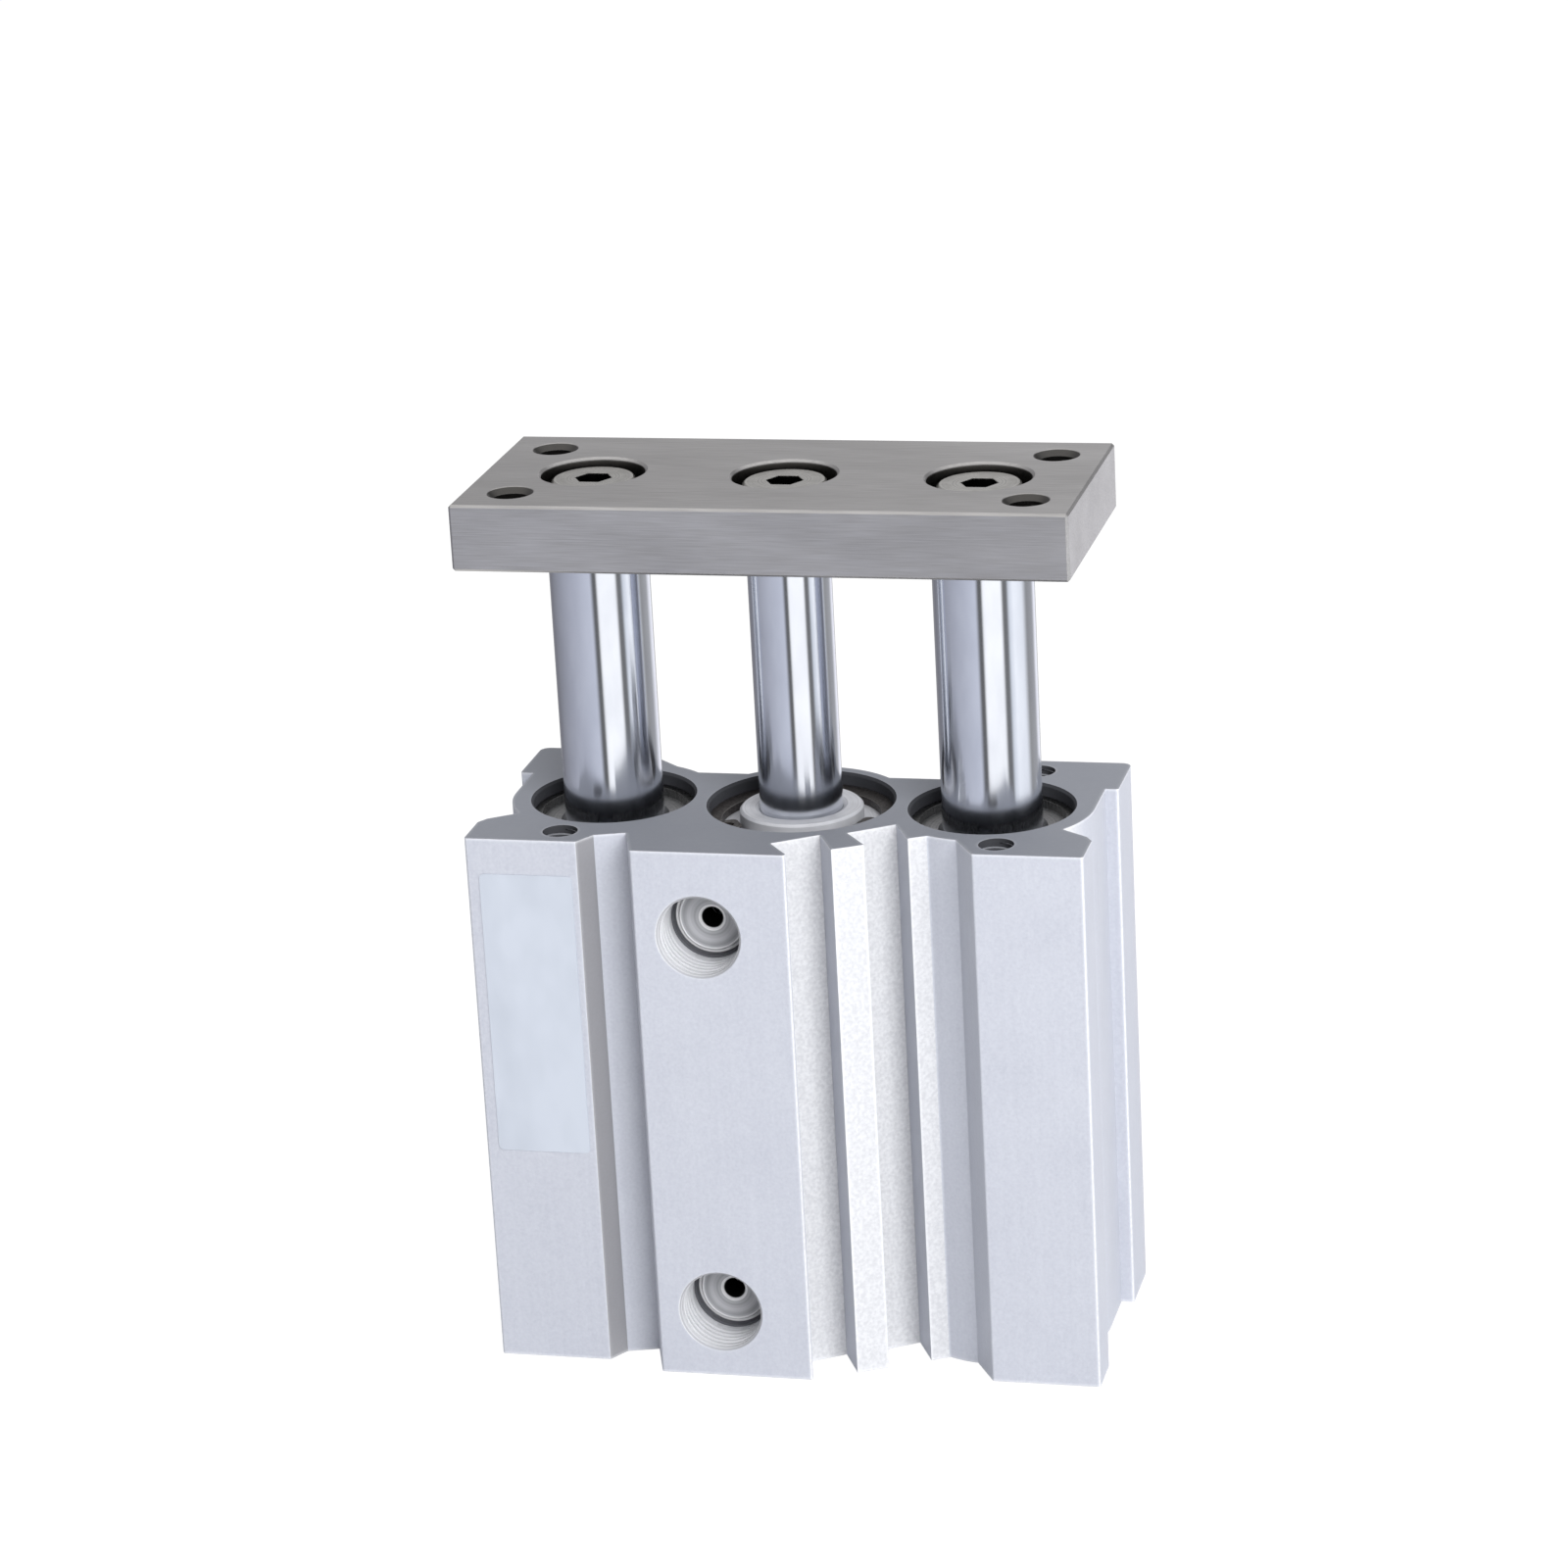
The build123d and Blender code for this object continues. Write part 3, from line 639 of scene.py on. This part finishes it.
# Seals and gaskets, bumpers, magnet and wear ring: as they leave the mould, matt, with the fine
# skin of its wall. The keys are material slots.
moulded = {
    "nitrile_rubber": {
        "name": "nitrile_rubber",
        "light": "#2b2b2c",
        "shade": "#1d1d1e",
        "roughness": 0.6,
        "roughnessRange": (0.54, 0.68),
        "skinWidth": 0.2,
        "skinDepth": 0.006,
    },
    "urethane_bumper": {
        "name": "cast_urethane",
        "light": "#c9a24a",
        "shade": "#b58d38",
        "roughness": 0.4,
        "roughnessRange": (0.34, 0.48),
        "skinWidth": 0.4,
        "skinDepth": 0.004,
    },
    "magnet_compound": {
        "name": "bonded_magnet",
        "light": "#4b4643",
        "shade": "#383431",
        "roughness": 0.7,
        "roughnessRange": (0.64, 0.78),
        "skinWidth": 0.15,
        "skinDepth": 0.008,
    },
    "bearing_resin": {
        "name": "acetal_resin",
        "light": "#dcd6c4",
        "shade": "#cfc8b4",
        "roughness": 0.45,
        "roughnessRange": (0.39, 0.53),
        "skinWidth": 0.3,
        "skinDepth": 0.003,
    },
}
cloudsPerSkin = 12           # clouds are wider than the skin's spots by this much


def mouldedMaterial(finish):
    material, tree, surface, place = newMaterial(finish["name"], 0.0, finish["roughness"])
    skin = grain(tree, place, finish["skinWidth"], detail=3.0)
    clouds = grain(tree, place, finish["skinWidth"] * cloudsPerSkin)
    base = mottled(tree, finish, sums(tree, "ADD", skin, clouds), twoNoises)
    rough = unevenRoughness(tree, finish, skin)
    normal = relief(tree, skin, finish["skinDepth"])
    connect(tree, surface, Base_Color=base, Roughness=rough, Normal=normal)
    return material


finishes = {
    "anodised_aluminium": anodisedAluminium(),
    "turned_aluminium": turnedAluminium(),
    "phosphated_spring_steel": phosphatedSteel(),
    "bright_spring_steel": brightSpringSteel(),
    "bearing_alloy": bearingAlloy(),
    "nickel_plated_steel": nickelPlatedSteel(),
    "nickel_plated_screws": nickelPlatedScrews(),
    "hard_chrome": hardChrome(),
}
for slot, finish in moulded.items():
    finishes[slot] = mouldedMaterial(finish)
for subpart in record["subparts"]:
    node = frame["nodes"][subpart["node"]]
    node.material_slots[0].material = finishes[subpart["material_slot"]]
print("materials ready:", len(finishes))


def addPiece(name, vertices, faces, material, body, smooth=True):
    mesh = bpy.data.meshes.new(name)
    mesh.from_pydata(vertices, [], faces)
    mesh.update()
    mesh.materials.append(material)
    mesh.polygons.foreach_set("use_smooth", [smooth] * len(faces))
    piece = bpy.data.objects.new(name, mesh)
    bpy.context.scene.collection.objects.link(piece)
    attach(piece, body)
    return piece


# Threads: a helical ridge on the wall of each hole. The CAD draws the holes plain.
threads = {
    "portPitch": 0.907,          # 28 turns to the inch
    "portHeight": 0.15,
    "screwPitch": 0.8,           # M5
    "screwHeight": 0.28,
    "flatShare": 0.14,           # width of a crest as a share of the pitch
    "rootShare": 0.92,           # width of a ridge at the wall
    "endShare": 0.3,             # a ridge narrows to this share of that width at its ends
    "stepsPerTurn": 40,
    "lead": 0.7,                 # turns left plain at each end
    "sunk": 0.03,                # ridges start this far inside the wall
    "lengths": {
        "plate_tapped_holes": 6.8,
        "top_tapped_holes": 8.5,
        "bottom_tapped_holes": 8.5,
        "back_tapped_holes": 7.0,
    },
}


def addThread(vertices, faces, mouth, inwards, radius, length, pitch, height):
    # one ridge from the hole's mouth inwards; mouth in metres, the rest in millimetres
    turn = Vector((0, 0, 1)).rotation_difference(Vector(inwards))
    stepsPerTurn = threads["stepsPerTurn"]
    steps = round((length / pitch - 2 * threads["lead"]) * stepsPerTurn)
    fadeSteps = stepsPerTurn / 2
    wall = radius + threads["sunk"]
    flat = pitch * threads["flatShare"] / 2
    endShare = threads["endShare"]
    first = len(vertices)
    for step in range(steps + 1):
        angle = 2 * math.pi * step / stepsPerTurn
        depth = pitch * (threads["lead"] + step / stepsPerTurn)
        fade = min(1, step / fadeSteps, (steps - step) / fadeSteps)
        crest = radius - height * fade
        root = pitch * threads["rootShare"] / 2 * (endShare + (1 - endShare) * fade)
        for distance, along in ((wall, -root), (crest, -flat), (crest, flat), (wall, root)):
            across = (distance * math.cos(angle), distance * math.sin(angle))
            point = Vector((*across, depth + along))
            vertices.append(Vector(mouth) + turn @ point * mm)
    for step in range(steps):
        for side in range(4):
            low = first + 4 * step
            nextSide = (side + 1) % 4
            faces.append((low + side, low + nextSide, low + 4 + nextSide, low + 4 + side))
    last = first + 4 * steps
    faces.append((first + 3, first + 2, first + 1, first))
    faces.append((last, last + 1, last + 2, last + 3))


def holeMouths(mount):
    # centres of a rectangular pattern of four holes, in metres
    across = [Vector([1.0 if row == axis else 0.0 for row in range(3)])
              for axis in range(3) if abs(mount["axis"][axis]) < 0.5]
    spacings = (mount["dims"]["spacing_x_mm"] * mm, mount["dims"]["spacing_y_mm"] * mm)
    centre = Vector(mount["pos_m"])
    return [centre + across[0] * spacings[0] * a + across[1] * spacings[1] * b
            for a in (-0.5, 0.5) for b in (-0.5, 0.5)]


def tappedHoles(mount, body, slot):
    vertices, faces = [], []
    inwards = [-value for value in mount["axis"]]
    for mouth in holeMouths(mount):
        addThread(vertices, faces, mouth, inwards, mount["dims"]["hole_r_mm"],
                  threads["lengths"][mount["name"]], threads["screwPitch"], threads["screwHeight"])
    addPiece(mount["name"] + "_threads", vertices, faces, finishes[slot], body)


def portThread(mount, body, slot):
    vertices, faces = [], []
    axis = Vector(mount["axis"])
    length = mount["dims"]["length_mm"]
    mouth = Vector(mount["pos_m"]) + axis * length / 2 * mm
    addThread(vertices, faces, mouth, -axis, mount["dims"]["r_mm"], length,
              threads["portPitch"], threads["portHeight"])
    addPiece(mount["name"] + "_thread", vertices, faces, finishes[slot], body)


for mount in record["mounts"]:
    if mount["kind"] == "threaded_hole":
        portThread(mount, "barrel", "anodised_aluminium")
    elif mount["name"] == "plate_tapped_holes":
        tappedHoles(mount, "carriage", "nickel_plated_steel")
    elif mount["kind"] == "bolt_pattern":
        tappedHoles(mount, "barrel", "anodised_aluminium")
print("threads cut")

# Label: polyester film with a smooth coat, slightly lighter and bluer than the body.
label = {
    "left": -35.6,
    "right": -24.2,
    "bottom": 27.2,
    "top": 62.6,
    "face": -16.8,               # the ear's front face, seen along Y
    "thickness": 0.08,
    "cornerRadius": 0.6,
    "cornerSteps": 6,
    "light": "#b2b8c3",
    "shade": "#aab0bb",
    "roughness": 0.45,
    "roughnessRange": (0.4, 0.5),
    "cloudWidth": 5.0,
    "cloudStretch": (1, 1, 2),
    "speckWidth": 0.3,
    "speckDepth": 0.002,
}


def labelFilm():
    material, tree, surface, place = newMaterial("polyester_label_film", 0.0, label["roughness"])
    clouds = grain(tree, place, label["cloudWidth"], stretch=label["cloudStretch"])
    specks = grain(tree, place, label["speckWidth"])
    base = mottled(tree, label, clouds, noiseCore)
    rough = unevenRoughness(tree, label, specks)
    normal = relief(tree, specks, label["speckDepth"])
    connect(tree, surface, Base_Color=base, Roughness=rough, Normal=normal)
    return material


def blankLabel():
    # thin sheet with rounded corners, stuck to the ear; its long sides run along Z
    corners = (
        (label["right"], label["top"], 0),
        (label["left"], label["top"], 90),
        (label["left"], label["bottom"], 180),
        (label["right"], label["bottom"], 270),
    )
    radius = label["cornerRadius"]
    steps = label["cornerSteps"]
    outline = []
    for x, z, start in corners:
        outwards = math.radians(start + 45)
        middleX = x - math.copysign(radius, math.cos(outwards))
        middleZ = z - math.copysign(radius, math.sin(outwards))
        for step in range(steps + 1):
            angle = math.radians(start + 90 / steps * step)
            outline.append((middleX + radius * math.cos(angle), middleZ + radius * math.sin(angle)))
    count = len(outline)
    levels = (label["face"], label["face"] - label["thickness"])
    vertices = [Vector((x, y, z)) * mm for y in levels for x, z in outline]
    faces = [tuple(range(count))]
    faces.append(tuple(reversed(range(count, 2 * count))))
    for index in range(count):
        after = (index + 1) % count
        faces.append((index, index + count, after + count, after))
    addPiece("blank_label", vertices, faces, labelFilm(), "barrel",
             smooth=False)


blankLabel()
print("label on")

# Studio: a pale floor, two soft boxes at the front right, the room's even light for matt surfaces,
# and walls that only gloss sees: grey and white cards all round, which draw the rods' stripes.
studio = {
    "floorSize": 6.0,            # metres
    "floorGap": 0.1,
    "floor": "#f4f4f4",
    "floorGlow": 1.1,
    "floorShadow": 0.12,         # how strongly the floor shows shadows to the camera
    "dayFront": 0.33,            # the room's light from the front half
    "dayBehind": 1.0,            # and from behind, where the soft boxes don't reach
    "dayTurn": (0.0, 0.8),       # shares of the way back between which it grows
    "wallStrength": 1.3,
    "zenith": "#e0e0e0",
    "ground": "#d8d8d8",
    "upperWall": (-0.1, 0.2),    # these begin and end at such shares of the way up or down
    "zenithRise": (0.45, 0.8),
    "groundFall": (-0.5, -0.8),
    "boxSize": 0.5,              # metres, as the distance is
    "boxDistance": 0.9,
}
softBoxes = {
    # watts, degrees to the right of the front, and degrees up
    "key": {"energy": 9.9, "azimuth": 36.0, "elevation": 36.0},
    "side": {"energy": 1.6, "azimuth": 76.0, "elevation": 22.0},
}
# The wall all round, from behind on the left over the front to behind on the right: degrees to
# the right of the front, and how bright polished metal shows it.
wallStops = (
    (-180, "#a0a0a0"), (-150, "#848488"), (-132, "#707076"), (-112, "#84858c"), (-60, "#a6a8b2"),
    (-8, "#c0c3ce"), (-1, "#5c5c5c"), (5, "#5c5c5c"), (9, "#f2f2f2"), (14, "#fcfcfc"),
    (49, "#fcfcfc"), (55, "#6c6c6c"), (63, "#6c6c6c"), (69, "#d4d8de"), (80, "#f3f5f8"),
    (106, "#e6e8ec"), (120, "#8e8e8e"), (146, "#a0a0a2"), (160, "#ececf2"), (172, "#ececf2"),
    (180, "#a0a0a0"),
)
# The same above eye level, which the level faces show.
upperStops = (
    (-180, "#c8c8ca"), (-166, "#a4a4a6"), (-150, "#78787a"), (-120, "#98989a"), (0, "#acaeb2"),
    (140, "#acaeb2"), (149, "#606060"), (165, "#606060"), (173, "#c8c8ca"), (180, "#c8c8ca"),
)


def sideVector(azimuth, elevation):
    # unit vector to a side: degrees to the right of the front, and degrees up
    turn = math.radians(azimuth)
    lift = math.radians(elevation)
    level = math.cos(lift)
    return Vector((level * math.sin(turn), -level * math.cos(turn), math.sin(lift)))


def wallRamp(tree, share, stops):
    ramp = addNode(tree, "ValToRGB", {0: share})
    elements = ramp.color_ramp.elements
    while len(elements) < len(stops):
        elements.new(0.5)
    for element, (degrees, shade) in zip(elements, stops):
        element.position = (degrees + 180) / 360
        element.color = colour(shade)
    return ramp.outputs[0]


def seenDirectly(tree):
    # 1 for what the camera sees, also through clear things
    ray = addNode(tree, "LightPath").outputs
    return sums(tree, "MAXIMUM", ray["Is Camera Ray"], ray["Is Transmission Ray"])


def studioWalls(tree, parts):
    # what gloss sees; parts are the X, Y and Z of the direction
    front = sums(tree, "MULTIPLY", parts["Y"], -1.0)
    turn = sums(tree, "ARCTAN2", parts["X"], front)
    share = spread(tree, turn, -math.pi, math.pi)
    lower = wallRamp(tree, share, wallStops)
    upper = wallRamp(tree, share, upperStops)
    up = parts["Z"]
    wall = blendColours(tree, spread(tree, up, *studio["upperWall"]), lower, upper)
    wall = blendColours(tree, spread(tree, up, *studio["zenithRise"]), wall, studio["zenith"])
    wall = blendColours(tree, spread(tree, up, *studio["groundFall"]), wall, studio["ground"])
    inputs = {0: wall, 1: [studio["wallStrength"]] * 3}
    return addNode(tree, "VectorMath", inputs, operation="MULTIPLY").outputs[0]


def studioWorld():
    world = bpy.data.worlds.new("studio_world")
    bpy.context.scene.world = world
    world.use_nodes = True
    world.cycles.sampling_method = "NONE"
    tree = world.node_tree
    direction = addNode(tree, "TexCoord").outputs["Generated"]
    parts = addNode(tree, "SeparateXYZ", {0: direction}).outputs
    day = spread(tree, parts["Y"], *studio["dayTurn"], studio["dayFront"], studio["dayBehind"])
    glossy = addNode(tree, "LightPath").outputs["Is Glossy Ray"]
    light = blendColours(tree, glossy, day, studioWalls(tree, parts))
    light = blendColours(tree, seenDirectly(tree), light, "#ffffff")
    tree.links.new(light, tree.nodes["Background"].inputs["Color"])


def whiteFloor():
    # pale paper that glows white to the camera, and isn't there from below
    material = bpy.data.materials.new("white_floor")
    material.use_nodes = True
    tree = material.node_tree
    tree.nodes.remove(tree.nodes["Principled BSDF"])
    paper = addNode(tree, "BsdfDiffuse", {"Color": colour(studio["floor"])}).outputs[0]
    glow = {"Color": colour("#ffffff"), "Strength": studio["floorGlow"]}
    glow = addNode(tree, "Emission", glow).outputs[0]
    share = sums(tree, "MULTIPLY", seenDirectly(tree), 1 - studio["floorShadow"])
    mixed = addNode(tree, "MixShader", {0: share, 1: paper, 2: glow}).outputs[0]
    below = addNode(tree, "NewGeometry").outputs["Backfacing"]
    clear = addNode(tree, "BsdfTransparent").outputs[0]
    mixed = addNode(tree, "MixShader", {0: below, 1: mixed, 2: clear}).outputs[0]
    tree.links.new(mixed, tree.nodes["Material Output"].inputs["Surface"])
    return material


def studioFloor():
    half = studio["floorSize"] / 2
    low = -studio["floorGap"] * mm
    corners = [(-half, -half, low), (half, -half, low), (half, half, low), (-half, half, low)]
    mesh = bpy.data.meshes.new("studio_floor")
    mesh.from_pydata(corners, [], [(0, 1, 2, 3)])
    mesh.materials.append(whiteFloor())
    floor = bpy.data.objects.new("studio_floor", mesh)
    bpy.context.scene.collection.objects.link(floor)
    floor.visible_glossy = False
    floor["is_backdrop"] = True


def softBox(name, energy, azimuth, elevation):
    # square lamp that faces the part; gloss sees the walls' cards in its place
    light = bpy.data.lights.new(name + "_light", "AREA")
    light.energy = energy
    light.size = studio["boxSize"]
    lamp = bpy.data.objects.new(name + "_light", light)
    lamp.visible_glossy = False
    bpy.context.scene.collection.objects.link(lamp)
    towards = sideVector(azimuth, elevation)
    lamp.location = towards * studio["boxDistance"]
    lamp.rotation_euler = towards.to_track_quat("Z", "Y").to_euler()


# Camera at the photo's angle, from a fit of the photo's corners and edges.
camera = {
    "place": (137.4, -543.1, 259.6),
    "azimuth": 14.4,             # degrees round to the right of the front
    "elevation": 18.77,
    "roll": -3.1,
    "focalLength": 113.71,
    "sensorWidth": 36.0,
}


def photoCamera():
    data = bpy.data.cameras.new("photo_camera")
    data.lens = camera["focalLength"]
    data.sensor_width = camera["sensorWidth"]
    eye = bpy.data.objects.new("photo_camera", data)
    bpy.context.scene.collection.objects.link(eye)
    place = Matrix.Translation(Vector(camera["place"]) * mm)
    turn = Matrix.Rotation(math.radians(camera["azimuth"]), 4, "Z")
    tilt = Matrix.Rotation(math.radians(90 - camera["elevation"]), 4, "X")
    roll = Matrix.Rotation(math.radians(camera["roll"]), 4, "Z")
    eye.matrix_world = place @ turn @ tilt @ roll
    bpy.context.scene.camera = eye


studioWorld()
studioFloor()
for name, box in softBoxes.items():
    softBox(name, **box)
photoCamera()
bpy.context.scene.view_settings.view_transform = "Standard"
print("studio lit")

sizes = {"cad": cadBox, "visual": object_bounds()}
sizes = {name: [list(corner) for corner in box] for name, box in sizes.items()}
